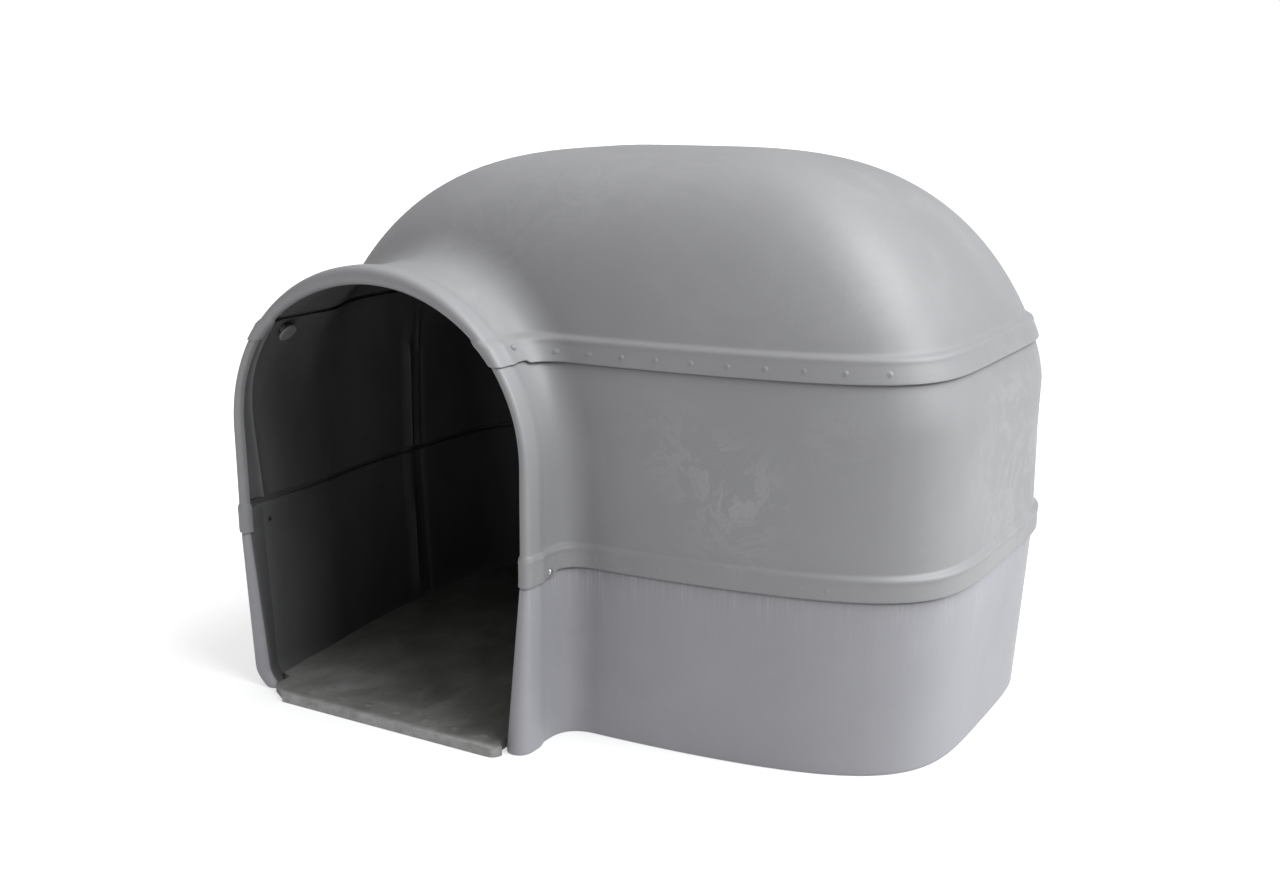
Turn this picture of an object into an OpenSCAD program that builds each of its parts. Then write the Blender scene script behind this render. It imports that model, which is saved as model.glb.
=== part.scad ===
// Calf hutch: a floor tray under a three-tier moulded cabin with an offset arched doorway.
// Each tier's lower edge is a band that laps over the tier below it.
// Origin: middle of the footprint, on the ground. +Z up, the doorway faces -Y, X runs across the front.

/* [Cabin] */
// Width of the cabin at its base, over its side walls
base_w = 1530; // [1450:2:1600]
// Width of the cabin at the lower seam
seam_w = 1572; // [1500:2:1640]
// Width of the cabin through the upper tiers, before the roof leans in
cabin_w = 1558; // [1500:2:1640]
// Depth of the cabin at its base, front wall to back wall
base_d = 988; // [940:2:1040]
// Depth of the cabin at the lower seam
seam_d = 992; // [940:2:1040]
// Depth of the cabin through the upper tiers, before the roof leans in
cabin_d = 1022; // [960:2:1080]
// Squareness of the plan at the base: 2 is an ellipse, more is squarer
base_power = 6; // [4:0.1:8]
// Squareness of the plan at the upper seam
plan_power = 8; // [5:0.1:9]
// Radius of the slight crown across the front and back walls
front_crown_r = 3300; // [2800:20:4000]
// Thickness of the moulded walls
wall_t = 6; // [5:0.5:8]

/* [Roof] */
// Height of the highest point of the roof
roof_top = 1210; // [1150:2:1250]
// Height at which the walls begin to lean in
lean_z = 705; // [690:5:740]
// How slowly the walls lean in above that height
lean_power = 1.5; // [1.2:0.05:2]
// Flatness of the crown: more is flatter
crown_power = 3.25; // [2.4:0.05:4]
// Squareness of the plan at the crown
crown_plan_power = 5.9; // [4:0.1:7]

/* [Tiers] */
// Height of the lower seam, the bottom edge of the middle tier's band
lower_seam_z = 372; // [340:2:400]
// Height of the upper seam, the bottom edge of the roof's band
upper_seam_z = 799; // [780:1:810]
// Height over which one tier laps the next
lap_h = 48; // [40:2:56]
// How far a band stands out from the wall that it covers
band_proud = 6.6; // [6.2:0.1:9]
// Gap between a band and the wall inside it
lap_gap = 0.6; // [0.4:0.1:1]
// Extra depth of the lower band where it wraps the doorway rim
lower_tab = 18; // [0:1:24]
// Extra depth of the upper band where it wraps the doorway rim, less than none if it rises there
upper_tab = -6; // [-12:1:6]

/* [Doorway] */
// Offset of the doorway's centre to the left of the cabin's centre
door_offset = 374; // [360:1:380]
// Width of the doorway neck over its straight walls
neck_w = 776; // [760:2:790]
// How far the neck's left wall comes in at the ground
left_taper = 21; // [0:1:24]
// How far the neck's right wall comes in at the ground
right_taper = 7; // [0:1:24]
// Height at which the doorway's arch springs
spring_z = 600; // [560:5:620]
// Rise of the neck's arch above its springing
arch_rise = 376; // [350:2:390]
// How far the rim stands out from the neck
rim_proud = 8; // [6:0.5:10]
// Distance across the rim's rolled edge at the ground on the left
left_base_roll = 44; // [34:1:50]
// Distance across the rim's rolled edge at the ground on the right
right_base_roll = 58; // [44:1:60]
// Distance across the rim's rolled edge above the lower seam
rim_roll = 26; // [24:1:34]
// Distance across the rim's rolled edge at the top of the arch
rim_crown_roll = 40; // [26:1:48]
// How far the right side of the rim leans forward at the ground
rim_lean = 16; // [0:1:20]
// How far the left side of the neck turns in at its front foot
toe_in = 30; // [0:5:60]
// Height above which the left foot no longer turns in
toe_h = 45; // [30:5:80]
// Size of the fillet between the neck and the cabin's front
neck_fillet = 70; // [50:5:75]
// Size of the fillet between the neck and the cabin's left side
side_fillet = 45; // [10:5:50]

/* [Floor tray] */
// Height of the floor tray
tray_h = 20; // [16:1:26]
// Width of the tray's front lip
lip_w = 598; // [560:2:600]
// Offset of the lip's centre to the left of the cabin's centre
lip_offset = 331; // [325:1:335]
// How far the lip comes out in front of the doorway rim
lip_out = 49; // [30:1:50]
// Gap between the tray and the walls around it
tray_gap = 4; // [3:0.5:10]
// Number of anti-slip nubs along the lip
nub_count = 7; // [3:1:7]
// Spacing of the nubs
nub_pitch = 79; // [70:1:80]

/* [Fasteners] */
// Radius of a bolt's shank
bolt_r = 4; // [3:0.5:5]
// Radius of a bolt's round head
head_r = 7; // [6:0.5:8]
// Radius of the washers inside
washer_r = 14; // [12:1:16]
// Radius of a hand knob's round grip
knob_r = 23; // [18:1:25]
// How far a hand knob stands in from its washer
knob_h = 18; // [16:1:30]

/* [Hidden] */

$fn = 48;
skirt_grey = [0.68, 0.69, 0.72];
cabin_grey = [0.62, 0.62, 0.64];
tray_grey = [0.52, 0.52, 0.51];
steel = [0.78, 0.79, 0.80];
knob_grey = [0.70, 0.70, 0.68];

right = 1;
left = -1;

// Depths along Y, front to back
rim_front = -557;
rim_return = 24;             // how far back the rolled edge's free end lies from the rim's front
crease_y = rim_front + 74;   // where the rim meets the neck's wall
neck_d = 158;                // rim's front to the cabin's front wall
toe_back = rim_front + 307;  // where the turned-in foot starts
crown_start_z = spring_z + 0.7 * arch_rise;   // where the rolled edge starts to thicken towards the top
lip_front = rim_front - lip_out;
body_y = rim_front + neck_d + base_d / 2;
roof_rise = roof_top - lean_z;

// The point that every ray to the cabin's surface starts from
core = [-202, body_y - 180, 700];

function unit(v) = v / norm(v);
function mix(a, b, t) = a + (b - a) * t;
function clamp01(t) = min(1, max(0, t));

// ---- the cabin's outer surface, as a gap: negative inside, positive outside, about a millimetre each

function half_w(z) = lookup(z, [[0, base_w], [lower_seam_z, seam_w], [spring_z, cabin_w]]) / 2;
function half_d(z) = lookup(z, [[0, base_d], [lower_seam_z, seam_d], [lean_z, cabin_d]]) / 2;
function rise(z) = clamp01((z - lean_z) / roof_rise);
function squareness(z) =
    lookup(z, [[0, base_power], [upper_seam_z, plan_power]]) + (crown_plan_power - plan_power) * rise(z);

function cabin_gap(p) =
    let (n = squareness(p.z),
         crown = p.x * p.x / (2 * front_crown_r),
         across = abs(p.x) / half_w(p.z),
         along = (abs(p.y - body_y) + crown) / half_d(p.z),
         reach = pow(pow(across, n) + pow(along, n), 1 / n),
         room = pow(1 - pow(rise(p.z), lean_power), 1 / crown_power))
    (reach - room) * half_d(p.z) + max(0, p.z - roof_top);

function neck_half(side, z) =
    neck_w / 2 - (side > 0 ? right_taper : left_taper) * clamp01(1 - z / lower_seam_z);

// How far the neck's side turns in, low down and towards the front on the left
function toe(side, y, z) =
    side > 0 ? 0
    : toe_in * pow(clamp01(1 - z / toe_h), 2) * clamp01((toe_back - y) / (toe_back - rim_front));

function neck_gap(p) =
    let (side = p.x + door_offset > 0 ? right : left,
         half = neck_half(side, p.z) - toe(side, p.y, p.z),
         up = max(0, p.z - spring_z) / arch_rise)
    max((norm([(p.x + door_offset) / half, up]) - 1) * half, p.y - body_y);

// The fillet is smaller towards the left, where the neck runs almost straight into the cabin's side
function fillet(p) = max(side_fillet, neck_fillet * clamp01((p.x + door_offset + 275) / 250));

function gap(p) =
    let (a = cabin_gap(p), b = neck_gap(p), k = fillet(p), h = max(0, k - abs(a - b)) / k)
    min(a, b) - h * h * k / 4;

// Bisection for the point on a ray from c along d where the gap reaches g
function hit(c, d, g, near = 0, far = 1500, turns = 22) =
    let (m = (near + far) / 2, p = c + d * m)
    turns == 0 ? p
    : gap(p) < g ? hit(c, d, g, m, far, turns - 1)
    : hit(c, d, g, near, m, turns - 1);

// ---- the doorway rim: a rolled edge, as points [out from the neck's wall, along Y], grown by g

function roll_r(side, z) =
    lookup(z, [[0, side > 0 ? right_base_roll : left_base_roll], [lower_seam_z, rim_roll],
               [crown_start_z, rim_roll], [spring_z + arch_rise, rim_crown_roll]]) / 2;
function rim_y(side, z) = rim_front - (side > 0 ? rim_lean : rim_lean / 4) * clamp01(1 - z / lower_seam_z);
rim_steps = 9;

function rim_point(side, k, z, g) =
    let (r = roll_r(side, z), nose = rim_y(side, z) + r, a = (k - 4) * 36)
    k == 0 ? [g, crease_y]
    : k == 1 ? [rim_proud * 0.55 + g, crease_y - 4]
    : k == 2 ? [rim_proud + g, crease_y - 12]
    : k == 3 ? [rim_proud + g, mix(crease_y - 12, nose, 0.5)]
    : k < rim_steps ? [rim_proud - r + (r + g) * cos(a), nose - (r + g) * sin(a)]
    : [rim_proud - 2 * r - g, rim_y(side, z) + max(rim_return, r + 2)];

// The neck's section, out by e from its wall: a point at height z, and one at angle a up the arch
function neck_reach(side, z, e) =
    (neck_half(side, z) + e) * sqrt(max(0, 1 - pow(max(0, z - spring_z) / (arch_rise + e), 2)));
function on_rim(side, k, z, g) =
    let (q = rim_point(side, k, z, g))
    [side * (neck_reach(side, z, q[0]) - toe(side, q[1], z)) - door_offset, q[1], z];
function on_arch(side, k, t, z, g) =
    let (height = spring_z + arch_rise * sin(mix(asin((z - spring_z) / arch_rise), 90, t)),
         q = rim_point(side, k, height, g),
         a = mix(asin((z - spring_z) / (arch_rise + q[0])), 90, t))
    [side * (neck_w / 2 + q[0]) * cos(a) - door_offset, q[1], spring_z + (arch_rise + q[0]) * sin(a)];

// ---- stations around the cabin: right rim, then columns of the wall, then left rim

fillet_columns = 16;
wall_columns = 72;
columns = fillet_columns + wall_columns;
stations = 2 * rim_steps + columns;
fillet_dir = atan2(rim_front + neck_d - core.y, neck_w / 2 + neck_fillet + 12 - door_offset - core.x);

function bearing(p) = let (a = atan2(p.y - core.y, p.x - core.x)) a < -90 ? a + 360 : a;
function column_dir(i, z, g) =
    let (start = bearing(on_rim(right, 0, z, g)), end = bearing(on_rim(left, 0, z, g)))
    i < fillet_columns ? mix(start, fillet_dir, i / fillet_columns)
    : mix(fillet_dir, end, (i - fillet_columns) / wall_columns);
function on_wall(i, z, g) =
    let (a = column_dir(i, z, g))
    hit([core.x, core.y, z], [cos(a), sin(a), 0], g);

function in_right_rim(s) = s <= rim_steps;
function in_left_rim(s) = s >= rim_steps + columns;
function on_level(s, z, g) =
    in_right_rim(s) ? on_rim(right, rim_steps - s, z, g)
    : in_left_rim(s) ? on_rim(left, s - rim_steps - columns, z, g)
    : on_wall(s - rim_steps, z, g);

// One row of points at height z with gap g. Over the rim and the wall beside it the row drops by tab
tab_columns = 2;
function on_tab(s) = clamp01(max(rim_steps + tab_columns + 1 - s, s - rim_steps - columns + 2));
function level_row(z, g, tab = 0) = [for (s = [0:stations]) on_level(s, z - tab * on_tab(s), g)];

// ---- the roof: rows that close from the arch and the walls onto a ridge line

function ridge_part(i) = let (v = min(i, columns - i) / (columns / 2)) v;
ridge_start = [-door_offset, crease_y, spring_z + arch_rise];
ridge_end = [60, body_y + 60, roof_top];

function on_roof(i, t, z, g) =
    let (wall = on_wall(i, z, 0),
         side = i < columns / 2 ? right : left,
         top = mix(ridge_start, ridge_end, ridge_part(i)),
         foot = on_rim(side, 0, z, 0),
         swing = pow(max(0, 1 - ridge_part(i) / 0.5), 2),
         aim = mix(wall, top, t) + swing * (on_arch(side, 0, t, z, 0) - mix(foot, ridge_start, t)))
    hit(core, unit(aim - core), g);

function roof_row(t, z, g) =
    [for (s = [0:stations])
        in_right_rim(s) ? on_arch(right, rim_steps - s, t, z, g)
        : in_left_rim(s) ? on_arch(left, s - rim_steps - columns, t, z, g)
        : on_roof(s - rim_steps, t, z, g)];

// ---- a thin shell from rows of outer and inner points, open at both ends

module shell(outer, inner, closed_top = false) {
    rows = len(outer) - 1;
    width = stations + 1;
    inner_start = (rows + 1) * width;
    function fold(r, s) = closed_top && r == rows ? min(s, stations - s) : s;
    function o(r, s) = r * width + fold(r, s);
    function n(r, s) = inner_start + r * width + fold(r, s);
    function quad(a, b, c, d) = [[a, b, c], [a, c, d]];
    skins = [for (r = [0:rows - 1], s = [0:stations - 1]) each concat(
        quad(o(r, s), o(r + 1, s), o(r + 1, s + 1), o(r, s + 1)),
        quad(n(r, s), n(r, s + 1), n(r + 1, s + 1), n(r + 1, s)))];
    foot = [for (s = [0:stations - 1]) each quad(o(0, s), o(0, s + 1), n(0, s + 1), n(0, s))];
    head = closed_top ? []
        : [for (s = [0:stations - 1]) each quad(o(rows, s + 1), o(rows, s), n(rows, s), n(rows, s + 1))];
    ends = [for (r = [0:rows - 1]) each concat(
        quad(o(r + 1, 0), o(r, 0), n(r, 0), n(r + 1, 0)),
        quad(o(r, stations), o(r + 1, stations), n(r + 1, stations), n(r, stations)))];
    // The two halves of the last row of a closed top meet, so its unused copies are dropped
    points = concat([for (row = outer) each row], [for (row = inner) each row]);
    faces = [for (f = concat(skins, foot, head, ends)) if (f[0] != f[1] && f[1] != f[2] && f[2] != f[0]) f];
    polyhedron(points = points, faces = faces);
}

// ---- the fasteners beside the doorway, one on each side of each lap

bolt_y = crease_y + 8;
lower_bolt_z = lower_seam_z + 2;
upper_bolt_z = upper_seam_z + 29;

// Puts its children on the neck's wall, at height z, with +Z pointing out of the wall
module on_neck(side, z) {
    up = max(0, z - spring_z) / arch_rise;
    tilt = atan2(up / arch_rise, sqrt(1 - up * up) / neck_half(side, z));
    translate([side * neck_reach(side, z, 0) - door_offset, bolt_y, z])
        rotate([0, side > 0 ? 90 - tilt : tilt - 90, 0])
            children();
}

module bolt_hole(side, z) {
    on_neck(side, z)
        translate([0, 0, -wall_t * 4])
            cylinder(r = bolt_r + 0.4, h = wall_t * 8);
}

head_h = 4;
washer_t = 2;
washer_top = -wall_t - 1.2;
knob_top = washer_top - washer_t - 0.3;
knob_bore = 13;
screw_depth = wall_t + 6;
bolt_depth = knob_bore - knob_top - 2;

// A round-headed fastener whose shank reaches in by depth from the neck's wall
module bolt(side, z, depth) {
    dome_r = (head_r * head_r + head_h * head_h) / (2 * head_h);
    color(steel)
        on_neck(side, z)
            translate([0, 0, band_proud + 0.8]) {
                intersection() {
                    cylinder(r = head_r, h = head_h);
                    translate([0, 0, head_h - dome_r])
                        sphere(r = dome_r);
                }
                translate([0, 0, -band_proud - depth])
                    cylinder(r = bolt_r, h = band_proud + depth + 0.5);
            }
}

module washer(side, z) {
    color(steel)
        on_neck(side, z)
            translate([0, 0, washer_top - washer_t])
                difference() {
                    cylinder(r = washer_r, h = washer_t);
                    translate([0, 0, -1])
                        cylinder(r = bolt_r + 0.4, h = washer_t + 2);
                }
}

// A hub on the washer, flaring to a round grip with rounded edges
module knob(side, z) {
    grip_t = 8;
    hub_r = 8;
    edge = 3;
    color(knob_grey)
        on_neck(side, z)
            translate([0, 0, knob_top])
                mirror([0, 0, 1])
                    difference() {
                        rotate_extrude()
                            polygon([[0, 0], [hub_r + 2, 0], [hub_r + 2, 2], [hub_r, 4],
                                     [hub_r, knob_h - grip_t - 4], [hub_r + 3, knob_h - grip_t],
                                     [knob_r - edge, knob_h - grip_t], [knob_r, knob_h - grip_t + edge],
                                     [knob_r, knob_h - edge], [knob_r - edge, knob_h - 0.6], [0, knob_h]]);
                        translate([0, 0, -1])
                            cylinder(r = bolt_r + 0.05, h = knob_bore + 1);
                    }
}

// ---- the four mouldings

module lower_shell() {
    top = lower_seam_z + lap_h - 2;
    levels = [0, toe_h / 4, toe_h / 2, toe_h, 150, 260, lower_seam_z - lower_tab, lower_seam_z + 14,
              lower_seam_z + 28, lower_seam_z + lap_h - 8, top];
    color(skirt_grey)
        difference() {
            shell([for (z = levels) level_row(z, 0)], [for (z = levels) level_row(z, -wall_t)]);
            bolt_hole(right, lower_bolt_z);
            bolt_hole(left, lower_bolt_z);
        }
}

bead = 2.4;   // how far the rounded bead along a band's top edge stands out from the band

// Rows of a band above the seam at z: [height, gap] for the outside and the inside
function band_outside(z) = [[z + 14, band_proud], [z + 28, band_proud], [z + lap_h - 8, band_proud],
                            [z + lap_h - 4, band_proud + bead], [z + lap_h + 1, band_proud + bead * 0.6],
                            [z + lap_h + 7, 0]];
function band_inside(z) = [[z + 14, lap_gap], [z + 28, lap_gap], [z + lap_h - 8, lap_gap],
                           [z + lap_h - 4, lap_gap], [z + lap_h, lap_gap], [z + lap_h + 7, -wall_t]];

module middle_shell() {
    top = upper_seam_z + lap_h - 2;
    plain = [510, spring_z, 670, 735, upper_seam_z, upper_seam_z + 14, upper_seam_z + 28, top];
    outer = concat([level_row(lower_seam_z, band_proud, lower_tab)],
                   [for (b = band_outside(lower_seam_z)) level_row(b[0], b[1])],
                   [for (z = plain) level_row(z, 0)]);
    inner = concat([level_row(lower_seam_z, lap_gap, lower_tab)],
                   [for (b = band_inside(lower_seam_z)) level_row(b[0], b[1])],
                   [for (z = plain) level_row(z, -wall_t)]);
    color(cabin_grey)
        difference() {
            shell(outer, inner);
            for (side = [right, left]) {
                bolt_hole(side, lower_bolt_z);
                bolt_hole(side, upper_bolt_z);
            }
        }
}

module dome_shell() {
    start = upper_seam_z + lap_h + 7;
    steps = [for (k = [1:11]) k / 11];
    outer = concat([level_row(upper_seam_z, band_proud, upper_tab)],
                   [for (b = band_outside(upper_seam_z)) level_row(b[0], b[1])],
                   [for (t = steps) roof_row(t, start, 0)]);
    inner = concat([level_row(upper_seam_z, lap_gap, upper_tab)],
                   [for (b = band_inside(upper_seam_z)) level_row(b[0], b[1])],
                   [for (t = steps) roof_row(t, start, -wall_t)]);
    color(cabin_grey)
        difference() {
            shell(outer, inner, closed_top = true);
            bolt_hole(right, upper_bolt_z);
            bolt_hole(left, upper_bolt_z);
        }
}

// The tray's outline: the lip, a narrow part through the doorway, then the cabin's inside less a gap.
// A margin draws it in all round, for the pockets underneath.
function tray_outline(margin = 0) =
    let (inset = -wall_t - tray_gap - margin,
         room = tray_gap + margin - rim_proud,
         door_right = neck_half(right, 0) - right_base_roll - room - door_offset,
         door_left = toe_in - neck_half(left, 0) + left_base_roll + room - door_offset,
         behind_rim = left_base_roll - rim_proud - wall_t,
         rim_back = rim_front + left_base_roll + 2,
         lip_right = lip_w / 2 - lip_offset - margin,
         corner = 22,
         lip_left = -lip_w / 2 - lip_offset + margin,
         lip_y = lip_front + margin,
         past_rim = crease_y + 25 + margin)
    concat([[lip_left + 12, lip_y]],
           [for (a = [-90:18:0])
               [lip_right - corner * (1 - cos(a)), lip_y + corner * (1 + sin(a))]],
           [[door_right, rim_front - rim_lean + 2], [door_right, past_rim]],
           [for (i = [3:columns - 1]) let (p = on_wall(i, 0, inset)) if (p.y > past_rim + 8) [p.x, p.y]],
           [[door_left - behind_rim, rim_back + margin], [door_left, rim_back - 10 + margin],
            [door_left, rim_front - 12 + margin], [lip_left, lip_y + 12]]);

module floor_tray() {
    floor_t = 5;
    rib_t = 6;
    border = 10;
    cell = 180;
    nub_r = 11;
    nub_h = 2.5;
    nub_ball = (nub_r * nub_r + nub_h * nub_h) / (2 * nub_h);
    color(tray_grey) {
        difference() {
            linear_extrude(height = tray_h)
                polygon(tray_outline());
            // Pockets underneath leave a floor plate on a grid of ribs, inside a solid border
            intersection() {
                translate([0, 0, -1])
                    linear_extrude(height = tray_h - floor_t + 1)
                        polygon(tray_outline(border));
                for (ix = [-4:3], iy = [-4:2])
                    translate([ix * cell + rib_t / 2, body_y + iy * cell + rib_t / 2, -2])
                        cube([cell - rib_t, cell - rib_t, tray_h]);
            }
        }
        for (k = [0:nub_count - 1])
            translate([(k - (nub_count - 1) / 2) * nub_pitch - lip_offset, rim_front - 2, tray_h])
                intersection() {
                    translate([0, 0, nub_h - nub_ball])
                        sphere(r = nub_ball);
                    translate([0, 0, -1])
                        cylinder(r = nub_r + 2, h = nub_h + 2);
                }
    }
}

floor_tray();
lower_shell();
middle_shell();
dome_shell();
bolt(right, lower_bolt_z, screw_depth);  // lower_screw_right
bolt(left, lower_bolt_z, screw_depth);  // lower_screw_left
bolt(right, upper_bolt_z, bolt_depth);  // upper_bolt_right
bolt(left, upper_bolt_z, bolt_depth);  // upper_bolt_left
washer(right, upper_bolt_z);  // upper_washer_right
washer(left, upper_bolt_z);  // upper_washer_left
knob(right, upper_bolt_z);  // upper_knob_right
knob(left, upper_bolt_z);  // upper_knob_left
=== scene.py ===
"""Looks for the calf hutch: three lapped mouldings, a floor tray and their fasteners."""
import math

import bpy
import numpy as np
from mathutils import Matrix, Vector

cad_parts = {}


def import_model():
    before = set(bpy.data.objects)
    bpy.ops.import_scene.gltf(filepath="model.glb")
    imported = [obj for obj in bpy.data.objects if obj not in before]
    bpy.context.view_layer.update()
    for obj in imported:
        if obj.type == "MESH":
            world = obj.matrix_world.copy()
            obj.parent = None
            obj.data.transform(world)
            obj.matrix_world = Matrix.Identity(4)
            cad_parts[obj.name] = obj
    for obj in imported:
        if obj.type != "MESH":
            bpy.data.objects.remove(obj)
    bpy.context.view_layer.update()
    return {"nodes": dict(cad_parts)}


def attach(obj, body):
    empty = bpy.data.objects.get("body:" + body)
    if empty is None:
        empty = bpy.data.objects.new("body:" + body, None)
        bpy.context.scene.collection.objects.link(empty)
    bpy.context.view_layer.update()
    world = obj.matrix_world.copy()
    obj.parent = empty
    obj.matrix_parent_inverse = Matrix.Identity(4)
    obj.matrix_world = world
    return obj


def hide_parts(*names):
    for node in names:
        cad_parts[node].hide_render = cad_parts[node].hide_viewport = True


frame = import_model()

MM = 0.001

# ---------------------------------------------------------------- sizes, in millimetres, as in the CAD source
BASE_W, SEAM_W, CABIN_W = 1530.0, 1572.0, 1558.0
BASE_D, SEAM_D, CABIN_D = 988.0, 992.0, 1022.0
BASE_POWER, PLAN_POWER, CROWN_PLAN_POWER = 6.0, 8.0, 5.9
FRONT_CROWN_R = 3300.0
ROOF_TOP, LEAN_Z, LEAN_POWER, CROWN_POWER = 1210.0, 705.0, 1.5, 3.25
LOWER_SEAM, UPPER_SEAM, LAP = 372.0, 799.0, 48.0
BAND, LAP_GAP, WALL = 6.6, 0.6, 6.0
LOWER_TABS, UPPER_TABS = [(11.0, LOWER_SEAM)], [(-6.0, UPPER_SEAM)]
DOOR_X = -374.0
NECK_W, LEFT_TAPER, RIGHT_TAPER = 776.0, 21.0, 7.0
SPRING, ARCH_RISE = 600.0, 376.0
RIM_PROUD, RIM_ROLL, RIM_CROWN_ROLL, RIM_LEAN = 8.0, 26.0, 40.0, 16.0
LEFT_BASE_ROLL, RIGHT_BASE_ROLL = 44.0, 58.0
CROWN_START = SPRING + 0.7 * ARCH_RISE
TOE_IN, TOE_H = 30.0, 45.0
NECK_FILLET, SIDE_FILLET = 70.0, 45.0
RIM_FRONT = -557.0
CREASE_Y = RIM_FRONT + 74.0
TOE_BACK = RIM_FRONT + 307.0
NECK_D = 158.0
BODY_Y = RIM_FRONT + NECK_D + BASE_D / 2
CORE = np.array([-202.0, BODY_Y - 180.0, 700.0])
BOLT_Y = CREASE_Y + 8.0

RIGHT, LEFT = 1.0, -1.0


# ---------------------------------------------------------------- the cabin's surface, as a gap field
def smooth(t):
    t = np.clip(t, 0.0, 1.0)
    return t * t * (3.0 - 2.0 * t)


def neck_half(side, z):
    """Half the neck's width; below the lower seam its walls come in towards the ground."""
    return NECK_W / 2 - np.where(side > 0, RIGHT_TAPER, LEFT_TAPER) * np.clip(1 - z / LOWER_SEAM, 0.0, 1.0)


def toe(side, y, z):
    """How far the neck's left foot turns in."""
    fade = np.clip((TOE_BACK - y) / (TOE_BACK - RIM_FRONT), 0.0, 1.0)
    return np.where(side > 0, 0.0, TOE_IN * np.clip(1 - z / TOE_H, 0.0, 1.0) ** 2 * fade)


def gap(p):
    """Negative inside the cabin's outer surface, positive outside, about a millimetre each."""
    x, y, z = p[..., 0], p[..., 1], p[..., 2]
    half_w = np.interp(z, [0.0, LOWER_SEAM, SPRING], [BASE_W, SEAM_W, CABIN_W]) / 2
    half_d = np.interp(z, [0.0, LOWER_SEAM, LEAN_Z], [BASE_D, SEAM_D, CABIN_D]) / 2
    rise = np.clip((z - LEAN_Z) / (ROOF_TOP - LEAN_Z), 0.0, 1.0)
    n = np.interp(z, [0.0, UPPER_SEAM], [BASE_POWER, PLAN_POWER]) + (CROWN_PLAN_POWER - PLAN_POWER) * rise
    crown = x * x / (2 * FRONT_CROWN_R)
    reach = ((np.abs(x) / half_w) ** n + ((np.abs(y - BODY_Y) + crown) / half_d) ** n) ** (1 / n)
    room = (1 - rise ** LEAN_POWER) ** (1 / CROWN_POWER)
    cabin = (reach - room) * half_d + np.maximum(0.0, z - ROOF_TOP)
    half = neck_half(x - DOOR_X, z) - toe(x - DOOR_X, y, z)
    up = np.maximum(0.0, z - SPRING) / ARCH_RISE
    neck = np.maximum((np.hypot((x - DOOR_X) / half, up) - 1) * half, y - BODY_Y)
    k = np.maximum(SIDE_FILLET, NECK_FILLET * np.clip((x - DOOR_X + 275) / 250, 0.0, 1.0))
    h = np.maximum(0.0, k - np.abs(cabin - neck)) / k
    return np.minimum(cabin, neck) - h * h * k / 4


def hit(start, along, g):
    """The points where rays from start, along unit directions, reach the gap g."""
    near = np.zeros(along.shape[:-1])
    far = np.full(along.shape[:-1], 1500.0)
    for _ in range(30):
        mid = (near + far) / 2
        inside = gap(start + along * mid[..., None]) < g
        near = np.where(inside, mid, near)
        far = np.where(inside, far, mid)
    return start + along * near[..., None]


# ---------------------------------------------------------------- the doorway rim's section
RIM_STEPS = 26
ROLL_HEIGHTS = [0.0, LOWER_SEAM, 560.0, 700.0, UPPER_SEAM, CROWN_START, SPRING + ARCH_RISE]


def bspline(ctrl, count):
    """A clamped, evenly sampled quadratic B-spline through rows of control points."""
    n = len(ctrl)
    t = np.linspace(0.0, n - 2.0, count)
    seg = np.minimum(t.astype(int), n - 3)
    f = t - seg
    knots = np.concatenate([[0, 0], np.arange(n - 1), [n - 2, n - 2]]).astype(float)
    out = np.zeros((count, 2))
    for i in range(count):
        d = [ctrl[seg[i] + j].astype(float) for j in range(3)]
        k = seg[i] + 2
        for r in (1, 2):
            for j in range(2, r - 1, -1):
                lo, hi = knots[j + k - 2], knots[j + 1 + k - r]
                a = (t[i] - lo) / (hi - lo) if hi > lo else 0.0
                d[j] = (1 - a) * d[j - 1] + a * d[j]
        out[i] = d[2]
    return out


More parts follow.
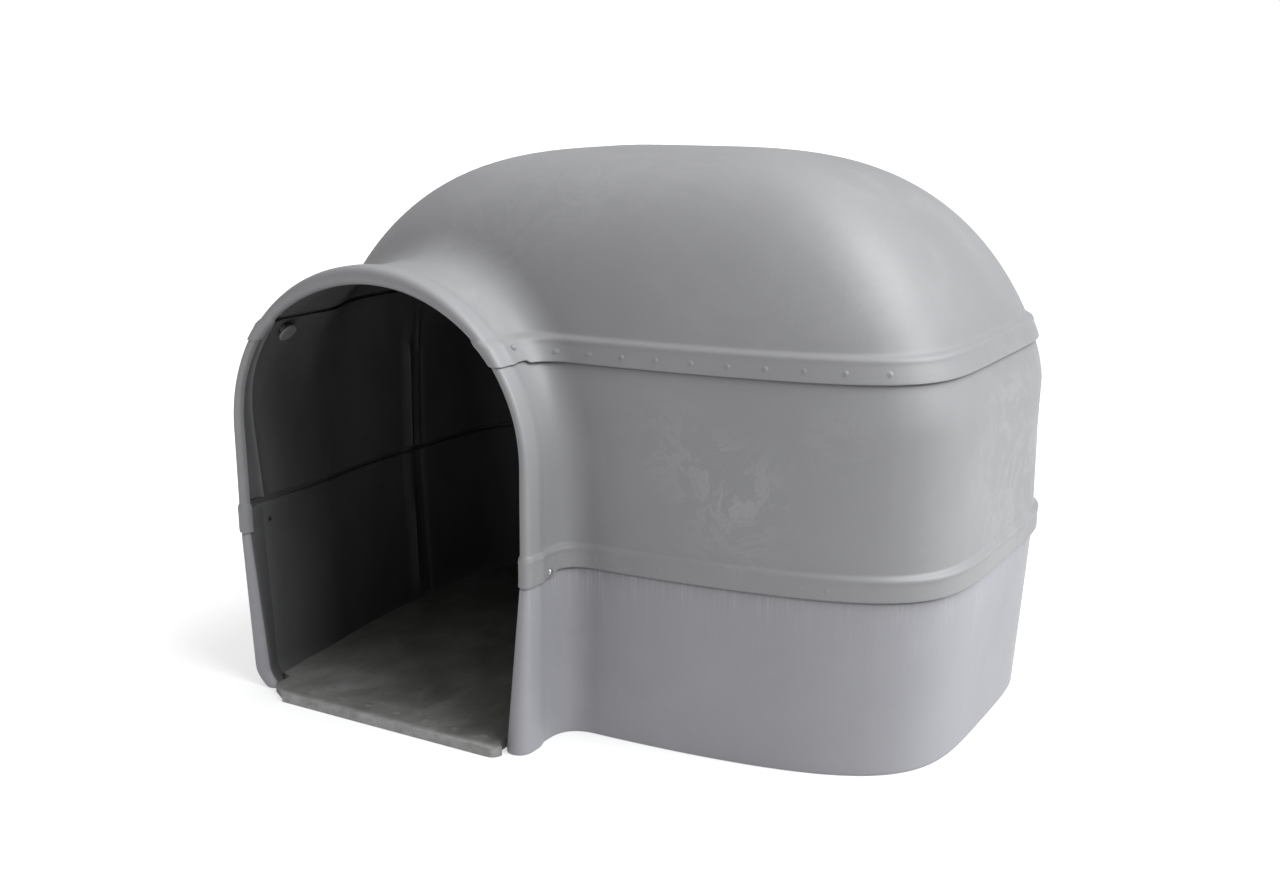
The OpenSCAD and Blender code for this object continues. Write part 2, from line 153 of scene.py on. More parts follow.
def rim_section(side, z, g, closed):
    """Points [out from the neck's wall, Y] from the crease round the nose to the free edge."""
    base_roll = RIGHT_BASE_ROLL if side > 0 else LEFT_BASE_ROLL
    rolls = [base_roll, RIM_ROLL, RIM_ROLL - 3, RIM_ROLL - 7, RIM_ROLL - 6, RIM_ROLL, RIM_CROWN_ROLL]
    roll = np.interp(z, ROLL_HEIGHTS, rolls)
    r = roll / 2
    front = RIM_FRONT - (RIM_LEAN if side > 0 else RIM_LEAN / 4) * min(1.0, max(0.0, 1 - z / LOWER_SEAM))
    nose_y = front + r
    middle_x = RIM_PROUD - r
    swell = CREASE_Y - 30
    pts = [[g, CREASE_Y], [g, CREASE_Y - 2],
           [RIM_PROUD * 0.45 + g, CREASE_Y - 15], [RIM_PROUD + g, swell + 2]]
    if g <= -WALL and not closed:
        # Inside, a raised ridge stands before the hollow behind the rolled edge
        ridge = np.interp(z, [430.0, 720.0], [CREASE_Y - 7, CREASE_Y - 37])
        floor_x = RIM_PROUD + g - 1.5
        pts = [[g, CREASE_Y], [g - 1.0, ridge + 7], [g - 5.0, ridge + 2], [g - 5.0, ridge - 2],
               [floor_x, ridge - 6], [floor_x, ridge - 9]]
        swell = min(swell, ridge - 12)
    if g > 1.0:
        # Round the rolled edge a band hugs the tier below more closely
        g = max(0.55 * g, min(g, 2.8))
    for f in (0.2, 0.6):
        pts.append([RIM_PROUD + g, swell * (1 - f) + nose_y * f])
    for a in range(0, 181, 20):
        c, s = math.cos(math.radians(a)), math.sin(math.radians(a))
        pts.append([middle_x + (r + g) * c, nose_y - (r + g) * s])
    inner = middle_x - r - g
    if closed:
        ridge_y = CREASE_Y - 12
        for f in (0.25, 0.5, 0.75, 1.0):
            pts.append([inner * (1 - f) + (-WALL - 3.0 - 0.35 * g) * f, nose_y * (1 - f) + ridge_y * f])
    else:
        pts.append([inner, front + max(17.0, r + 3.0)])
    return bspline(np.array(pts), RIM_STEPS + 1)


def rim_table(side, zs, g, closed):
    return np.stack([rim_section(side, z, gg, closed) for z, gg in zip(zs, g)])


def neck_reach(side, z, e):
    up = np.maximum(0.0, z - SPRING) / (ARCH_RISE + e)
    return (neck_half(side, z) + e) * np.sqrt(np.maximum(0.0, 1 - up * up))


def rim_level(side, z, g, closed):
    """The rim's section at heights z: rows by points."""
    q = rim_table(side, z, g, closed)
    zz = np.repeat(np.asarray(z, float)[:, None], RIM_STEPS + 1, 1)
    reach = neck_reach(side, zz, q[..., 0]) - toe(side, q[..., 1], zz)
    return np.stack([side * reach + DOOR_X, q[..., 1], zz], -1)


def rim_arch(side, t, z, g):
    """The rim's section at fractions t of the way from height z up to the crown of the arch."""
    turn = math.asin((z - SPRING) / ARCH_RISE)
    heights = SPRING + ARCH_RISE * np.sin(turn + (math.pi / 2 - turn) * np.asarray(t))
    q = rim_table(side, heights, g, False)
    first = np.arcsin((z - SPRING) / (ARCH_RISE + q[..., 0]))
    a = first + (math.pi / 2 - first) * np.asarray(t)[:, None]
    return np.stack([side * (NECK_W / 2 + q[..., 0]) * np.cos(a) + DOOR_X, q[..., 1],
                     SPRING + (ARCH_RISE + q[..., 0]) * np.sin(a)], -1)


# ---------------------------------------------------------------- stations round the cabin
FILLET_COLUMNS, WALL_COLUMNS = 16.0, 72.0
HALF_COLUMNS = (FILLET_COLUMNS + WALL_COLUMNS) / 2
FILLET_DIR = math.atan2(RIM_FRONT + NECK_D - CORE[1], NECK_W / 2 + NECK_FILLET + 12 + DOOR_X - CORE[0])
BUMP_PITCH, BUMP_R, BUMP_H = 75.0, 5.2, 1.9
UPPER_BUMPS = [BUMP_PITCH * i - 3.0 for i in range(10)]
LOWER_BUMPS = [83.0, 232.0, 526.0, 576.0]


def bearing(p):
    a = np.arctan2(p[..., 1] - CORE[1], p[..., 0] - CORE[0])
    return np.where(a < -math.pi / 2, a + 2 * math.pi, a)


def crease_bearing(side, z, g):
    reach = neck_reach(side, z, g) - toe(side, CREASE_Y, z)
    p = np.stack([side * reach + DOOR_X, np.full(np.shape(z), CREASE_Y), z], -1)
    return bearing(p)


def wall_angles(c, z, g):
    """Bearings of the stations c at heights z: rows by stations."""
    start, end = crease_bearing(RIGHT, z, g)[:, None], crease_bearing(LEFT, z, g)[:, None]
    c = c[None, :]
    near = start + (FILLET_DIR - start) * c / FILLET_COLUMNS
    far = FILLET_DIR + (end - FILLET_DIR) * (c - FILLET_COLUMNS) / WALL_COLUMNS
    return np.where(c < FILLET_COLUMNS, near, far)


def wall_level(c, z, g):
    """Points on the wall at heights z (rows by stations, or one per row), with gap g."""
    rows = len(z) if np.ndim(z) == 1 else z.shape[0]
    zz = np.broadcast_to(np.asarray(z, float).reshape(rows, -1), (rows, len(c)))
    gg = np.broadcast_to(np.asarray(g, float).reshape(rows, -1), (rows, len(c)))
    a = wall_angles(c, zz[:, 0], gg[:, 0])
    start = np.stack([np.full(zz.shape, CORE[0]), np.full(zz.shape, CORE[1]), zz], -1)
    return hit(start, np.stack([np.cos(a), np.sin(a), np.zeros(a.shape)], -1), gg)


def bump_station(x, z):
    """The station of the front wall's point at x."""
    a = math.atan2(front_y(x, z) - CORE[1], x - CORE[0])
    end = crease_bearing(LEFT, np.array([z]), np.array([BAND]))[0]
    return FILLET_COLUMNS + WALL_COLUMNS * (a - FILLET_DIR) / (end - FILLET_DIR)


def front_y(x, z):
    lo, hi = -900.0, 0.0
    for _ in range(30):
        mid = (lo + hi) / 2
        if gap(np.array([x, mid, z])) > BAND:
            lo = mid
        else:
            hi = mid
    return hi


def station_list():
    """Stations from the right crease to the left crease, alike on both halves, closer at the bumps."""
    half = [i * 0.4 for i in range(int(FILLET_COLUMNS / 0.4))]
    step = 0.36
    half += [FILLET_COLUMNS + i * step for i in range(int((HALF_COLUMNS - FILLET_COLUMNS) / step) + 1)]
    if HALF_COLUMNS - half[-1] > 0.1:
        half.append(HALF_COLUMNS)
    half[-1] = HALF_COLUMNS
    half = np.array(half)
    spans = []
    for xs, z in ((UPPER_BUMPS, UPPER_SEAM + 20), (LOWER_BUMPS, LOWER_SEAM + 20)):
        for x in xs:
            ends = [bump_station(x + d, z) for d in (-BUMP_R - 1.2, BUMP_R + 1.2)]
            spans.append((min(ends), max(ends)))
    for lo, hi in spans:
        half = half[(half < lo - 0.05) | (half > hi + 0.05)]
    half = np.sort(np.concatenate([half] + [np.concatenate([[lo - 0.03], np.linspace(lo, hi, 9), [hi + 0.03]])
                                              for lo, hi in spans]))
    half = half[np.concatenate([[True], np.diff(half) > 0.004])]
    half[-1] = HALF_COLUMNS
    half = np.unique(np.round(half, 5))
    return np.concatenate([half, 2 * HALF_COLUMNS - half[-2::-1]])


STATIONS = station_list()
RIDGE_START = np.array([DOOR_X, CREASE_Y, SPRING + ARCH_RISE])
RIDGE_END = np.array([60.0, BODY_Y + 60.0, ROOF_TOP])


def join_row(right_rim, wall, left_rim):
    """One row of stations, from the right rim's free edge to the left rim's."""
    return np.concatenate([right_rim[:, :0:-1], wall, left_rim[:, 1:]], 1)


def level_rows(z, g, tabs=(), closed=False, relief=None):
    """Rows at heights z with gaps g. Near the doorway, rows about a seam drop by up to its tab."""
    z, g = np.asarray(z, float), np.asarray(g, float)
    drop = np.zeros(len(z))
    for tab, seam in tabs:
        drop += tab * np.clip(1 - (z - seam) / 14.0, 0.0, 1.0) * np.clip((z - seam) / 50.0 + 1.2, 0.0, 1.0)
    wall = wall_level(STATIONS, z, g)
    near_rim = 1 - smooth((wall[..., 1] - (BOLT_Y + 9)) / 16.0)
    extra = np.zeros(wall.shape[:2]) if relief is None else relief(wall)
    z_wall = z[:, None] - drop[:, None] * near_rim
    wall = wall_points(z_wall, g[:, None] + extra, z, g)
    rims = [rim_level(s, z - drop, g, closed) for s in (RIGHT, LEFT)]
    return join_row(rims[0], wall, rims[1])


def wall_points(z, g, z_row, g_row):
    a = wall_angles(STATIONS, z_row, g_row)
    start = np.stack([np.full(z.shape, CORE[0]), np.full(z.shape, CORE[1]), z], -1)
    return hit(start, np.stack([np.cos(a), np.sin(a), np.zeros(a.shape)], -1), g)


def roof_rows(t, z, g):
    """Rows at fractions t of the way from height z up to the ridge line, with gaps g."""
    t, g = np.asarray(t, float), np.asarray(g, float)
    c = STATIONS
    part = np.minimum(c, 2 * HALF_COLUMNS - c) / HALF_COLUMNS
    side = np.where(c < HALF_COLUMNS, RIGHT, LEFT)
    wall = wall_level(c, np.array([z]), np.array([0.0]))[0]
    top = RIDGE_START + (RIDGE_END - RIDGE_START) * part[:, None]
    first = math.asin((z - SPRING) / ARCH_RISE)
    foot = np.stack([side * neck_reach(side, np.full(len(c), z), 0.0) + DOOR_X, np.full(len(c), CREASE_Y),
                     np.full(len(c), z)], -1)
    swing = np.maximum(0.0, 1 - part / 0.5)[:, None] ** 2
    rows = []
    for k in t:
        a = first + (math.pi / 2 - first) * k
        arch = np.stack([side * NECK_W / 2 * math.cos(a) + DOOR_X, np.full(len(c), CREASE_Y),
                         np.full(len(c), SPRING + ARCH_RISE * math.sin(a))], -1)
        aim = wall + (top - wall) * k + swing * (arch - (foot + (RIDGE_START - foot) * k))
        rows.append(aim - CORE)
    rows = np.array(rows)
    rows /= np.linalg.norm(rows, axis=-1, keepdims=True)
    wall = hit(CORE, rows, g[:, None] + np.zeros(rows.shape[:2]))
    rims = [rim_arch(s, t, z, g) for s in (RIGHT, LEFT)]
    return join_row(rims[0], wall, rims[1])


# ---------------------------------------------------------------- relief: bumps on the bands, ribs inside
def bumps(centres, z, height):
    """A relief of low round bumps at points along the front wall's band."""
    spots = np.array([[x, front_y(x, z), z] for x in centres])

    def relief(p):
        out = np.zeros(p.shape[:2])
        for s in spots:
            d = np.linalg.norm(p - s, axis=-1) / BUMP_R
            out += height * np.sqrt(np.maximum(0.0, 1 - d * d))
        return out
    return relief


def rib(y, width, height, low, high):
    """A vertical rib on the inside of the left wall, fading out at its ends."""
    def relief(p):
        across = np.exp(-((p[..., 1] - y) / width) ** 2)
        along = smooth((p[..., 2] - low) / 40.0) * smooth((high - p[..., 2]) / 90.0)
        return -height * across * along * (p[..., 0] < -600)
    return relief


def both(*parts):
    return lambda p: sum(part(p) for part in parts)


# ---------------------------------------------------------------- meshes
def new_piece(name, verts, faces, body, replaced, material, inner=None, inner_material=None):
    mesh = bpy.data.meshes.new(name)
    mesh.from_pydata([tuple(v) for v in np.asarray(verts) * MM], [], faces)
    mesh.polygons.foreach_set("use_smooth", [True] * len(mesh.polygons))
    mesh.set_sharp_from_angle(angle=math.radians(42))
    mesh.materials.append(material)
    if inner_material is not None:
        mesh.materials.append(inner_material)
        mesh.polygons.foreach_set("material_index", inner)
    obj = bpy.data.objects.new(name, mesh)
    bpy.context.scene.collection.objects.link(obj)
    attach(obj, body)
    if replaced:
        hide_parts(*replaced)
    return obj


def zip_faces(a, b, za, zb):
    """Triangles that close the strip between two chains of vertices, by their heights."""
    faces, i, j = [], 0, 0
    while i < len(a) - 1 or j < len(b) - 1:
        step_a = j == len(b) - 1 or (i < len(a) - 1 and za[i + 1] <= zb[j + 1])
        if step_a:
            faces.append((a[i], a[i + 1], b[j]))
            i += 1
        else:
            faces.append((a[i], b[j + 1], b[j]))
            j += 1
    return [f for f in faces if len(set(f)) == 3]


def shell_faces(outer, inner, closed_top, turned=RIM_STEPS):
    """Points and faces of a thin shell between rows of outer and inner points, and which face inwards.

    From rim step turned on, the outer skin has turned inwards too; those faces, like the inner skin's, take
    the inner material's painted shade."""
    no, ni, w = len(outer), len(inner), outer.shape[1]
    fold = np.minimum(np.arange(w), w - 1 - np.arange(w))
    o = np.arange(no * w).reshape(no, w)
    n = np.arange(ni * w).reshape(ni, w) + no * w
    if closed_top:
        o[-1], n[-1] = o[-1][fold], n[-1][fold]
    faces = []

    def skin(grid, flip):
        for r in range(len(grid) - 1):
            for s in range(w - 1):
                quad = [grid[r][s], grid[r][s + 1], grid[r + 1][s + 1], grid[r + 1][s]]
                quad = [v for k, v in enumerate(quad) if v != quad[k - 1]]
                if len(set(quad)) < 3:
                    continue
                faces.append(tuple(int(v) for v in (quad[::-1] if flip else quad)))
                shaded_turn.append(min(s, w - 2 - s) < RIM_STEPS - turned)
    shaded_turn = []
    skin(o, False)
    first = len(faces)
    skin(n, True)
    last = len(faces)
    for s in range(w - 1):
        faces.append((int(o[0][s]), int(n[0][s]), int(n[0][s + 1]), int(o[0][s + 1])))
        if not closed_top:
            faces.append((int(o[-1][s]), int(o[-1][s + 1]), int(n[-1][s + 1]), int(n[-1][s])))
    for s, flip in ((0, False), (w - 1, True)):
        ends = zip_faces([int(v) for v in o[:, s]], [int(v) for v in n[:, s]], outer[:, s, 2], inner[:, s, 2])
        faces.extend(f[::-1] if flip else f for f in ends)
    shaded_turn += [False] * (len(faces) - len(shaded_turn))
    points = np.concatenate([outer.reshape(-1, 3), inner.reshape(-1, 3)])
    used = np.unique(np.concatenate([np.array(f) for f in faces]))
    index = np.full(len(points), -1)
    index[used] = np.arange(len(used))
    # Faces marked here take the inner material's painted shade.
    inside = [1 if first <= k < last or shaded_turn[k] else 0 for k in range(len(faces))]
    return points[used], [tuple(int(index[v]) for v in f) for f in faces], inside


def steps(lo, hi, count):
    return list(np.linspace(lo, hi, count))


def band_rows(seam):
    """Heights and gaps of a band's outside, from its lower edge up to the plain wall."""
    low = [(0.0, BAND - 2.6), (0.5, BAND - 1.0), (1.6, BAND - 0.2), (3.2, BAND), (7.0, BAND)]
    bump = [(z, BAND) for z in np.linspace(13.0, 27.0, 10)]
    top = [(33.0, BAND), (36.5, BAND + 0.25), (39.5, BAND + 0.9), (42.5, BAND + 1.1), (45.5, BAND + 0.5),
           (48.0, BAND - 1.2), (50.3, BAND - 3.4), (52.4, BAND - 5.2), (54.4, 0.35), (57.5, 0.0)]
    return [(seam + z, g) for z, g in low + bump + top]


def band_inside(seam):
    return [(seam, BAND - 5.0), (seam + 1.5, 0.9), (seam + 6, LAP_GAP), (seam + 30, LAP_GAP),
            (seam + LAP + 1, LAP_GAP), (seam + LAP + 5, LAP_GAP - 0.4), (seam + LAP + 7, -2.5),
            (seam + LAP + 8.5, -WALL + 1), (seam + LAP + 10, -WALL), (seam + LAP + 12, -WALL)]


def split(rows):
    return [r[0] for r in rows], [r[1] for r in rows]


def lower_shell(material):
    top = LOWER_SEAM + LAP - 5
    outer = [(0.0, -1.8), (0.6, -0.6), (2.2, 0.0)]
    outer += [(z, 0.0) for z in steps(8, TOE_H, 6) + steps(70, LOWER_SEAM - 30, 12)]
    groove = [(-10, 0.0), (-6.5, -0.2), (-5.0, -0.6), (-4.2, -1.2), (-3.4, -1.6), (2, -1.6), (6, -0.4)]
    outer += [(LOWER_SEAM + z, g) for z, g in groove + [(14, 0.0), (28, 0.0)]]
    outer += [(top - 2.0, 0.0), (top - 0.5, -0.7), (top, -2.0)]
    inner = [(0.0, -4.2), (0.6, -5.4), (2.2, -WALL)]
    inner += [(z, -WALL) for z in steps(8, TOE_H, 6) + steps(80, LOWER_SEAM, 9)]
    inner += [(top - 2.0, -WALL), (top - 0.5, -WALL + 0.7), (top, -WALL + 2.0)]
    ribs = rib(66.0, 13.0, 8.0, -60.0, top + 90.0)
    zo, go = split(outer)
    zi, gi = split(inner)
    o = level_rows(zo, go, LOWER_TABS, closed=True)
    i = level_rows(zi, gi, LOWER_TABS, closed=True, relief=ribs)
    # From rim step 20 on, the lower rim's inturned flange takes the inner material's painted shade.
    verts, faces, inside = shell_faces(o, i, False, turned=20)
    return new_piece("lower_shell_moulding", verts, faces, "shell", ["lower_shell"],
                     material, inside, shaded_inner_plastic)


def middle_shell(material):
    top = UPPER_SEAM + LAP - 2
    outer = band_rows(LOWER_SEAM)
    outer += [(z, 0.0) for z in steps(450, UPPER_SEAM - 24, 20)]
    groove = [(-10, 0.0), (-5.0, 0.0), (-3.4, -0.1), (-2.6, -0.3), (-1.8, -0.7), (2, -0.7), (6, -0.2)]
    outer += [(UPPER_SEAM + z, g) for z, g in groove + [(14, 0.0), (28, 0.0)]]
    outer += [(top - 2.0, 0.0), (top - 0.5, -0.7), (top, -2.0)]
    inner = band_inside(LOWER_SEAM)
    inner += [(z, -WALL) for z in steps(455, top - 3, 16)]
    inner += [(top - 0.5, -WALL + 0.7), (top, -WALL + 2.0)]
    ribs = both(rib(70.0, 11.0, 9.0, 380.0, 800.0), rib(106.0, 6.0, 5.0, 380.0, 800.0))
    zo, go = split(outer)
    zi, gi = split(inner)
    faint = bumps(LOWER_BUMPS, LOWER_SEAM + 20, BUMP_H * 0.5)
    o = level_rows(zo, go, LOWER_TABS + UPPER_TABS, relief=faint)
    i = level_rows(zi, gi, LOWER_TABS + UPPER_TABS, relief=ribs)
    verts, faces, inside = shell_faces(o, i, False)
    return new_piece("middle_shell_moulding", verts, faces, "shell", ["middle_shell"],
                     material, inside, shaded_inner_plastic)


def dome_shell(material):
    outer = band_rows(UPPER_SEAM)
    inner = band_inside(UPPER_SEAM)
    start = UPPER_SEAM + LAP + 12
    zo, go = split(outer)
    zi, gi = split(inner)
    raised = bumps(UPPER_BUMPS, UPPER_SEAM + 20, BUMP_H)
    o = level_rows(zo, go, UPPER_TABS, relief=raised)
    i = level_rows(zi, gi, UPPER_TABS)
    to = np.linspace(0, 1, 45)[1:]
    ti = np.linspace(0, 1, 27)[1:]
    ro = roof_rows(to, start, np.zeros(len(to)))
    ri = roof_rows(ti, start, np.full(len(ti), -WALL))
    verts, faces, inside = shell_faces(np.concatenate([o, ro]), np.concatenate([i, ri]), True)
    return new_piece("dome_shell_moulding", verts, faces, "shell", ["dome_shell"],
                     material, inside, shaded_inner_plastic)


# ---------------------------------------------------------------- materials
class Nodes:
    """A short way to write a material's node tree."""

    def __init__(self, name):
        self.material = bpy.data.materials.new(name)
        self.material.use_nodes = True
        self.tree = self.material.node_tree
        self.tree.nodes.clear()
        out = self.tree.nodes.new("ShaderNodeOutputMaterial")
        self.shader = self.tree.nodes.new("ShaderNodeBsdfPrincipled")
        self.tree.links.new(self.shader.outputs[0], out.inputs[0])
        self.place = self.tree.nodes.new("ShaderNodeTexCoord").outputs["Object"]

    def link(self, source, socket):
        if isinstance(source, (int, float)):
            socket.default_value = source
        else:
            self.tree.links.new(source, socket)

    def scaled(self, x, y, z):
        node = self.tree.nodes.new("ShaderNodeMapping")
        self.tree.links.new(self.place, node.inputs["Vector"])
        node.inputs["Scale"].default_value = (x, y, z)
        return node.outputs[0]

    def noise(self, scale, detail=3.0, rough=0.5, warp=0.0, vector=None, out=0):
        node = self.tree.nodes.new("ShaderNodeTexNoise")
        self.tree.links.new(vector or self.place, node.inputs["Vector"])
        node.inputs["Scale"].default_value = scale
        node.inputs["Detail"].default_value = detail
        node.inputs["Roughness"].default_value = rough
        node.inputs["Distortion"].default_value = warp
        return node.outputs[out]

    def ramp(self, source, *stops):
        node = self.tree.nodes.new("ShaderNodeValToRGB")
        self.tree.links.new(source, node.inputs[0])
        while len(node.color_ramp.elements) < len(stops):
            node.color_ramp.elements.new(0.5)
        for element, (at, value) in zip(node.color_ramp.elements, stops):
            element.position = at
            colour = value if isinstance(value, tuple) else (value,) * 3
            element.color = (*colour, 1.0)
        return node.outputs[0]

    def maths(self, kind, a, b=0.0, c=0.0):
        node = self.tree.nodes.new("ShaderNodeMath")
        node.operation = kind
        for k, value in enumerate((a, b, c)):
            self.link(value, node.inputs[k])
        return node.outputs[0]

    def mix(self, factor, a, b, kind="MIX"):
        node = self.tree.nodes.new("ShaderNodeMix")
        node.data_type = "RGBA"
        node.blend_type = kind
        self.link(factor, node.inputs["Factor"])
        for value, socket in ((a, node.inputs["A"]), (b, node.inputs["B"])):
            if isinstance(value, tuple):
                socket.default_value = (*value, 1.0)
            else:
                self.tree.links.new(value, socket)
        return node.outputs["Result"]

    def coordinate(self, axis):
        node = self.tree.nodes.new("ShaderNodeSeparateXYZ")
        self.tree.links.new(self.place, node.inputs[0])
        return node.outputs[axis]

    def height(self):
        return self.coordinate(2)

    def near(self, centre, radius):
        """1 at a centre, falling softly to 0 at a radius, both in millimetres."""
        node = self.tree.nodes.new("ShaderNodeVectorMath")
        node.operation = "DISTANCE"
        self.tree.links.new(self.place, node.inputs[0])
        node.inputs[1].default_value = [c * MM for c in centre]
        return self.ramp(self.maths("DIVIDE", node.outputs["Value"], radius * MM), (0.35, 1.0), (1.0, 0.0))

    def bump(self, height, strength, distance):
        node = self.tree.nodes.new("ShaderNodeBump")
        node.inputs["Strength"].default_value = strength
        node.inputs["Distance"].default_value = distance
        self.tree.links.new(height, node.inputs["Height"])
        self.tree.links.new(node.outputs[0], self.shader.inputs["Normal"])


def grey(value, warm=0.0):
    """A grey, bluish below 0 and yellowish above."""
    lift = max(0.0, warm) * 0.5
    return (value * (1 + lift), value * (1 + lift + 0.1 * min(0.0, warm)), value * (1 - warm * 1.1))


def moulded_plastic(name, base, warm, marks=0.2, streaks=0.0, patches=()):
    """Satin grey foam-moulded plastic: cloudy flow marks, fine speckle and a little orange peel."""
    n = Nodes(name)
    cloud = n.noise(2.6, 5.0, 0.55, 1.6)
    swirl = n.noise(5.0, 5.0, 0.62, 2.6)
    speck = n.noise(420.0, 2.0, 0.7)
    clouded, swirled = n.ramp(cloud, (0.50, 0.0), (0.68, 1.0)), n.ramp(swirl, (0.42, 0.0), (0.62, 1.0))
    wisps = n.maths("MULTIPLY", clouded, swirled)
    amount = n.maths("MULTIPLY", wisps, marks)
    curls = n.ramp(n.noise(7.0, 6.0, 0.66, 3.4), (0.47, 0.0), (0.56, 0.8), (0.62, 0.25), (0.74, 1.0))
    for centre, radius, strength in patches:
        here = n.maths("MULTIPLY", n.near(centre, radius), strength)
        amount = n.maths("ADD", amount, n.maths("MULTIPLY", here, curls))
    dark, light = grey(base * 0.93, warm), grey(base * 1.06, warm)
    colour = n.mix(n.ramp(n.noise(1.3, 3.0, 0.5, 0.6), (0.35, 0.0), (0.65, 1.0)), dark, light)
    colour = n.mix(amount, colour, grey(base * 1.55, warm * 0.4))
    colour = n.mix(n.ramp(speck, (0.30, 0.16), (0.55, 0.0)), colour, grey(base * 0.72, warm))
    relief = n.maths("MULTIPLY", n.noise(95.0, 3.0, 0.6), 0.6)
    if streaks:
        fine = n.noise(1.0, 4.0, 0.7, 0.0, n.scaled(190.0, 190.0, 6.0))
        broken = n.ramp(n.noise(1.0, 3.0, 0.6, 0.0, n.scaled(24.0, 24.0, 9.0)), (0.40, 0.2), (0.65, 1.0))
        lines = n.maths("MULTIPLY", n.ramp(fine, (0.48, 0.0), (0.70, 1.0)), broken)
        high = n.maths("DIVIDE", n.height(), LOWER_SEAM * MM)
        below = n.maths("MULTIPLY", n.ramp(high, (0.60, 0.06), (0.82, 0.3), (0.97, 1.0)), streaks)
        colour = n.mix(n.maths("MULTIPLY", lines, below), colour, grey(base * 1.5, warm))
        relief = n.maths("ADD", relief, n.maths("MULTIPLY", fine, 0.5))
    n.link(colour, n.shader.inputs["Base Color"])
    n.link(n.ramp(cloud, (0.3, 0.46), (0.7, 0.58)), n.shader.inputs["Roughness"])
    n.shader.inputs["Specular IOR Level"].default_value = 0.42
    n.bump(relief, 0.35, 0.0006)
    return n.material


def shaded_inner_wall(name, base):
    """The cabin's inside: dull, with a random mottle on a dark grey that is painted shade, darker away from
    the doorway and lighter near it as painted light falling in.
    """
    n = Nodes(name)
    # Painted light near the doorway, fading to painted shade further in.
    door_light_and_shade = n.ramp(n.maths("ADD", n.coordinate(1), 0.6), (0.05, 1.5), (0.16, 1.05), (0.5, 0.95), (0.9, 0.95))
    grime = n.ramp(n.noise(3.0, 6.0, 0.6, 1.2, n.scaled(1.0, 1.0, 0.45)), (0.35, 0.82), (0.65, 1.15))
    value = n.maths("MULTIPLY", n.maths("MULTIPLY", door_light_and_shade, grime), base)
    n.link(n.mix(value, (0.0, 0.0, 0.0), (1.0, 1.0, 1.02)), n.shader.inputs["Base Color"])
    n.link(n.ramp(n.noise(20.0, 3.0), (0.3, 0.5), (0.7, 0.65)), n.shader.inputs["Roughness"])
    n.shader.inputs["Specular IOR Level"].default_value = 0.3
    n.bump(n.noise(95.0, 3.0, 0.6), 0.3, 0.0006)
    return n.material


def shaded_tray_plastic(name, base):
    """The tray: a dark grey for painted shade on top under the roof, blotched at random, and its own lighter,
    mottled grey along the lip, where the painted shade stops.
    """
    n = Nodes(name)
    blotch = n.noise(5.0, 7.0, 0.62, 0.8)
    smear = n.noise(9.0, 5.0, 0.6, 1.5, n.scaled(1.0, 0.5, 1.0))
    fine = n.noise(60.0, 4.0, 0.65)
    # The lip in front is left out of the painted shade and shows the tray's lighter grey.
    unshaded_lip = n.ramp(n.maths("ADD", n.coordinate(1), 0.7), (0.098, 1.0), (0.116, 0.0))
    patchy = n.maths("ADD", n.maths("MULTIPLY", blotch, 0.6), n.maths("MULTIPLY", smear, 0.4))
    # Random blotches on a dark grey that stands for painted shade under the roof.
    mottle_and_shade = n.ramp(patchy, (0.36, grey(base * 0.62, 0.05)), (0.52, grey(base * 0.95, 0.035)),
                  (0.68, grey(base * 1.35, 0.01)))
    lip = n.ramp(n.noise(26.0, 5.0, 0.65), (0.34, grey(base * 1.5, 0.03)), (0.66, grey(base * 2.3, 0.0)))
    colour = n.mix(unshaded_lip, mottle_and_shade, lip)
    colour = n.mix(n.ramp(fine, (0.3, 0.25), (0.5, 0.0)), colour, grey(base * 0.5, 0.03))
    n.link(colour, n.shader.inputs["Base Color"])
    n.link(n.ramp(blotch, (0.3, 0.5), (0.7, 0.72)), n.shader.inputs["Roughness"])
    n.shader.inputs["Specular IOR Level"].default_value = 0.35
    n.bump(n.maths("ADD", n.maths("MULTIPLY", smear, 2.0), n.maths("MULTIPLY", fine, 0.6)), 0.5, 0.001)
    return n.material


def bright_metal(name, base, rough):
    n = Nodes(name)
    grain = n.noise(900.0, 2.0, 0.6)
    colour = n.mix(n.ramp(grain, (0.35, 0.0), (0.7, 1.0)), grey(base * 0.8), grey(base))
    n.link(colour, n.shader.inputs["Base Color"])
    n.link(n.ramp(n.noise(160.0, 3.0), (0.3, rough * 0.8), (0.7, rough * 1.3)), n.shader.inputs["Roughness"])
    n.shader.inputs["Metallic"].default_value = 1.0
    n.bump(grain, 0.2, 0.0002)
    return n.material


# The tray and inner bases are dark greys that stand for painted shade under the roof and inside the cabin.
CABIN_BASE, SKIRT_BASE, TRAY_SHADE_BASE, INNER_SHADE_BASE = 0.182, 0.215, 0.122, 0.058
FLOW_MARKS = [((250.0, -402.0, 670.0), 130.0, 0.17), ((330.0, -402.0, 600.0), 130.0, 0.20),
              ((420.0, -402.0, 600.0), 120.0, 0.28), ((400.0, -402.0, 500.0), 150.0, 0.25),
              ((600.0, -380.0, 690.0), 110.0, 0.18), ((770.0, 150.0, 580.0), 320.0, 0.34),
              ((-180.0, -300.0, 1080.0), 260.0, 0.13), ((100.0, -150.0, 1200.0), 300.0, 0.10),
              ((560.0, -250.0, 980.0), 220.0, 0.09)]
cabin_plastic = moulded_plastic("cabin_plastic_look", CABIN_BASE, -0.02, marks=0.14, patches=FLOW_MARKS)
skirt_plastic = moulded_plastic("skirt_plastic_look", SKIRT_BASE, -0.06, marks=0.10, streaks=0.7)
tray_plastic = shaded_tray_plastic("tray_plastic_look", TRAY_SHADE_BASE)
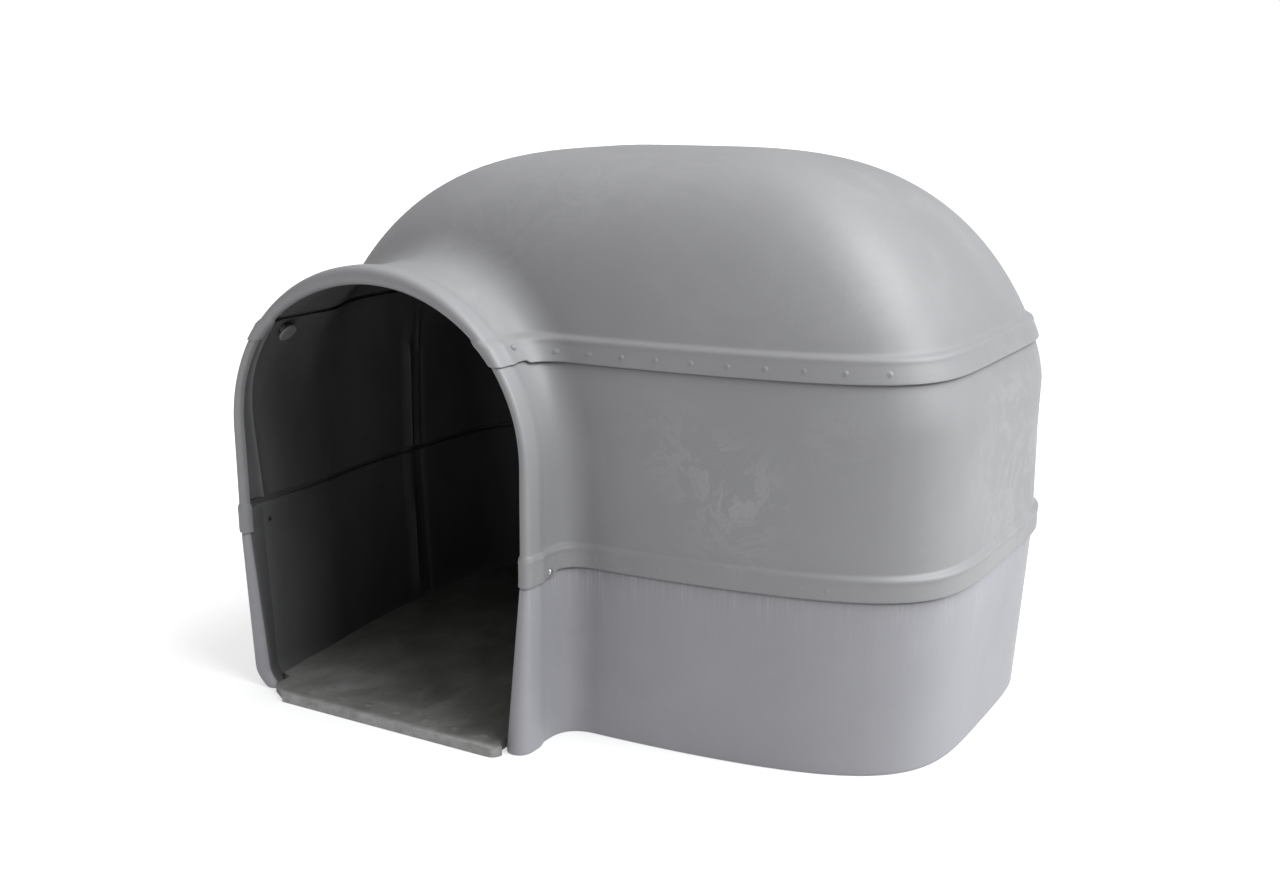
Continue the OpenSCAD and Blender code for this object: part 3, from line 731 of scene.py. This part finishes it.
# The inside's material is painted shade: a dark grey, lighter near the doorway.
shaded_inner_plastic = shaded_inner_wall("inner_plastic_look", INNER_SHADE_BASE)
zinc = bright_metal("zinc_look", 0.42, 0.35)
dark_cap = moulded_plastic("bolt_cap_look", CABIN_BASE, -0.02)
knob_plastic = moulded_plastic("knob_plastic_look", 0.12, 0.0)

lower_shell(skirt_plastic)
middle_shell(cabin_plastic)
dome_shell(cabin_plastic)

LOOKS = {"tray": tray_plastic, "screw": zinc, "bolt": dark_cap, "washer": zinc, "knob": knob_plastic}
EDGES = {"tray": 3.5, "screw": 0.5, "bolt": 0.8, "washer": 0.5, "knob": 1.0}
for node, obj in frame["nodes"].items():
    for word, look in LOOKS.items():
        if word in node:
            obj.data.materials.clear()
            obj.data.materials.append(look)
            edge = obj.modifiers.new("rounded_edges", "BEVEL")
            edge.width = EDGES[word] * MM
            edge.segments = 3
            edge.limit_method = "ANGLE"
            edge.angle_limit = math.radians(40)


# ---------------------------------------------------------------- stage, lights and camera
def floor():
    mesh = bpy.data.meshes.new("floor")
    side, level = 60.0, -0.0005
    corners = [(-side, -side, level), (side, -side, level), (side, side, level), (-side, side, level)]
    mesh.from_pydata(corners, [], [(0, 1, 2, 3)])
    n = Nodes("floor_look")
    n.link(n.mix(n.noise(0.4), (0.39, 0.39, 0.39), (0.41, 0.41, 0.41)), n.shader.inputs["Base Color"])
    n.shader.inputs["Roughness"].default_value = 0.9
    n.shader.inputs["Specular IOR Level"].default_value = 0.0
    n.shader.inputs["Emission Color"].default_value = (1.0, 1.0, 1.0, 1.0)
    n.shader.inputs["Emission Strength"].default_value = 0.55
    mesh.materials.append(n.material)
    obj = bpy.data.objects.new("floor", mesh)
    bpy.context.scene.collection.objects.link(obj)


def sun(name, towards, spread, power, colour=(1.0, 1.0, 1.0)):
    """A large soft light a long way off, in the given direction."""
    light = bpy.data.lights.new(name, "SUN")
    light.energy = power
    light.color = colour
    light.angle = math.radians(spread)
    obj = bpy.data.objects.new(name, light)
    obj.rotation_euler = (-Vector(towards)).to_track_quat("-Z", "Y").to_euler()
    bpy.context.scene.collection.objects.link(obj)


def world(strength):
    w = bpy.data.worlds.new("studio")
    w.use_nodes = True
    tree = w.node_tree
    back = tree.nodes["Background"]
    back.inputs[0].default_value = (1.0, 1.0, 1.0, 1.0)
    seen = tree.nodes.new("ShaderNodeLightPath")
    level = tree.nodes.new("ShaderNodeMapRange")
    level.inputs["To Min"].default_value = strength
    level.inputs["To Max"].default_value = 1.0
    tree.links.new(seen.outputs["Is Camera Ray"], level.inputs["Value"])
    tree.links.new(level.outputs["Result"], back.inputs["Strength"])
    bpy.context.scene.world = w


def camera():
    cam = bpy.data.cameras.new("camera")
    cam.lens, cam.sensor_width = 42.19, 36.0
    obj = bpy.data.objects.new("camera", cam)
    obj.location = (1.6542, -2.9068, 1.340)
    obj.rotation_euler = (math.radians(76.5), 0.0, math.radians(30.3))
    bpy.context.scene.collection.objects.link(obj)
    bpy.context.scene.camera = obj


floor()
world(0.40)
sun("key", (0.69, 0.16, 0.69), 55.0, 5.85, (0.965, 0.985, 1.0))
sun("top", (0.0, 0.1, 1.0), 90.0, 1.5)
camera()
bpy.context.scene.view_settings.view_transform = "Standard"
bpy.context.scene.view_settings.look = "None"
